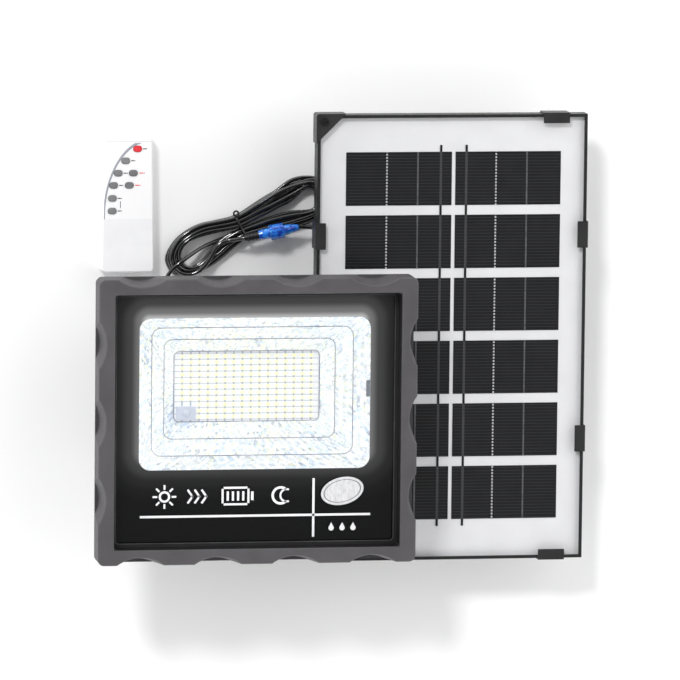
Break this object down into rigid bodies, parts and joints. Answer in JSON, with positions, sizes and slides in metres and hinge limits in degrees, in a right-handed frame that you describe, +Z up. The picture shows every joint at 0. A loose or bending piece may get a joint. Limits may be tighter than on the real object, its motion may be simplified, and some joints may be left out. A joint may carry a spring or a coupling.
{
  "type": "solar flood light",
  "caption": "Solar flood light kit: square lamp head with scalloped bezel, separate solar panel on a tilting bracket, tied connecting lead and a hand remote.",
  "frame": {"origin": "middle of the kit's base, in the plane that both brackets, the hank and the remote lie on", "axes": "+X from the lamp head to the solar panel, +Y towards the panel's upper edge, +Z up, out of the lamp's glass and the panel's glass"},
  "size_m": [0.392, 0.3504, 0.124],
  "materials": {
    "bezel_paint": "grained dark grey powder coat",
    "housing_paint": "grained dark grey powder coat",
    "lamp_glass": "clear toughened glass with a black printed mask",
    "gasket_rubber": "matt black",
    "reflector_metal": "metallised and faceted",
    "led_board_white": "white solder mask",
    "led_phosphor": "yellow phosphor, lit white",
    "receiver_plastic": "pale blue-grey",
    "screw_steel": "zinc plated",
    "screw_black": "black zinc plated",
    "battery_cells": "shrink wrapped cells",
    "holder_plastic": "black moulded",
    "circuit_board": "green laminate",
    "gland_plastic": "black moulded",
    "bracket_paint": "black powder coat",
    "frame_aluminium": "black anodised",
    "backsheet_white": "white",
    "cell_silicon": "near black monocrystalline",
    "busbar_silver": "tinned",
    "ribbon_grey": "dark coated ribbon",
    "panel_glass": "clear low-iron glass",
    "clip_plastic": "black moulded",
    "cord_pvc": "glossy black sheath",
    "tie_wire": "black coated wire",
    "boot_rubber": "matt black",
    "plug_blue": "translucent blue",
    "remote_white": "satin white",
    "button_red": "red",
    "button_grey": "grey"
  },
  "bodies": {
    "lamp_and_panel": {"lamp_bezel": "bezel_paint", "bezel_screws": "screw_steel", "lamp_glass": "lamp_glass", "glass_gasket": "gasket_rubber", "reflector": "reflector_metal", "led_board": "led_board_white", "led_chips": "led_phosphor", "ir_receiver": "receiver_plastic", "lamp_housing": "housing_paint", "battery_cells": "battery_cells", "battery_holder": "holder_plastic", "controller_board": "circuit_board", "lamp_gland": "gland_plastic", "lamp_gland_nut": "gland_plastic", "breather_vent": "gland_plastic", "lamp_bracket_bolts": "screw_steel", "lamp_bracket_nuts": "screw_steel", "panel_rail_left": "frame_aluminium", "panel_rail_right": "frame_aluminium", "panel_rail_top": "frame_aluminium", "panel_rail_bottom": "frame_aluminium", "panel_backsheet": "backsheet_white", "solar_cells": "cell_silicon", "cell_busbars": "busbar_silver", "string_ribbons": "ribbon_grey", "panel_glass": "panel_glass", "edge_clips": "clip_plastic", "corner_gusset": "clip_plastic", "panel_crossbar": "bracket_paint", "panel_screws": "screw_black", "panel_bracket_bolts": "screw_steel", "panel_bracket_nuts": "screw_steel", "junction_box": "gland_plastic", "junction_lid": "gland_plastic", "junction_gland": "gland_plastic", "lamp_lead": "cord_pvc", "cable_hank": "cord_pvc", "hank_tie": "tie_wire", "plug_tail": "cord_pvc", "plug_boot": "boot_rubber", "plug_body": "plug_blue", "socket_body": "plug_blue", "panel_lead": "cord_pvc"},
    "lamp_foot": {"lamp_bracket": "bracket_paint"},
    "panel_foot": {"panel_bracket": "bracket_paint"},
    "connector_nut": {"coupling_nut": "plug_blue"},
    "remote": {"remote_top_shell": "remote_white", "remote_base_shell": "remote_white", "remote_circuit_board": "circuit_board", "remote_cells": "battery_cells"},
    "battery_door": {"remote_battery_door": "remote_white"},
    "key_power": {"button_power": "button_red"},
    "key_brightness_up": {"button_brightness_up": "button_grey"},
    "key_brightness_down": {"button_brightness_down": "button_grey"},
    "key_auto": {"button_auto": "button_grey"},
    "key_timer_short": {"button_timer_short": "button_grey"},
    "key_timer_medium": {"button_timer_medium": "button_grey"},
    "key_timer_long": {"button_timer_long": "button_grey"},
    "key_dim": {"button_dim": "button_grey"}
  },
  "joints": [
    {"name": "lamp_tilt", "type": "hinge", "parent": "lamp_and_panel", "child": "lamp_foot", "pos_m": [-0.073, -0.0534, 0.04], "axis": [1, 0, 0], "range_deg": [-90, 90]},
    {"name": "panel_tilt", "type": "hinge", "parent": "lamp_and_panel", "child": "panel_foot", "pos_m": [0.0888, 0, 0.022], "axis": [1, 0, 0], "range_deg": [-90, 90]},
    {"name": "nut_spin", "type": "hinge", "parent": "lamp_and_panel", "child": "connector_nut", "pos_m": [-0.04362, 0.08027, 0.0161], "axis": [0.982, 0.1891, 0], "continuous": true},
    {"name": "remote_lift", "type": "slide", "parent": "lamp_and_panel", "child": "remote", "axis": [0, 0.6, 0.8], "range_m": [0, 0.15]},
    {"name": "door_slide", "type": "slide", "parent": "remote", "child": "battery_door", "axis": [0, -1, 0], "range_m": [0, 0.025]},
    {"name": "press_power", "type": "slide", "parent": "remote", "child": "key_power", "axis": [0, 0, -1], "range_m": [0, 0.0007], "stiffness_N_per_m": 200, "springref_m": -0.001},
    {"name": "press_brightness_up", "type": "slide", "parent": "remote", "child": "key_brightness_up", "axis": [0, 0, -1], "range_m": [0, 0.0007], "stiffness_N_per_m": 200, "springref_m": -0.001},
    {"name": "press_brightness_down", "type": "slide", "parent": "remote", "child": "key_brightness_down", "axis": [0, 0, -1], "range_m": [0, 0.0007], "stiffness_N_per_m": 200, "springref_m": -0.001},
    {"name": "press_auto", "type": "slide", "parent": "remote", "child": "key_auto", "axis": [0, 0, -1], "range_m": [0, 0.0007], "stiffness_N_per_m": 200, "springref_m": -0.001},
    {"name": "press_timer_short", "type": "slide", "parent": "remote", "child": "key_timer_short", "axis": [0, 0, -1], "range_m": [0, 0.0007], "stiffness_N_per_m": 200, "springref_m": -0.001},
    {"name": "press_timer_medium", "type": "slide", "parent": "remote", "child": "key_timer_medium", "axis": [0, 0, -1], "range_m": [0, 0.0007], "stiffness_N_per_m": 200, "springref_m": -0.001},
    {"name": "press_timer_long", "type": "slide", "parent": "remote", "child": "key_timer_long", "axis": [0, 0, -1], "range_m": [0, 0.0007], "stiffness_N_per_m": 200, "springref_m": -0.001},
    {"name": "press_dim", "type": "slide", "parent": "remote", "child": "key_dim", "axis": [0, 0, -1], "range_m": [0, 0.0007], "stiffness_N_per_m": 200, "springref_m": -0.001}
  ]
}
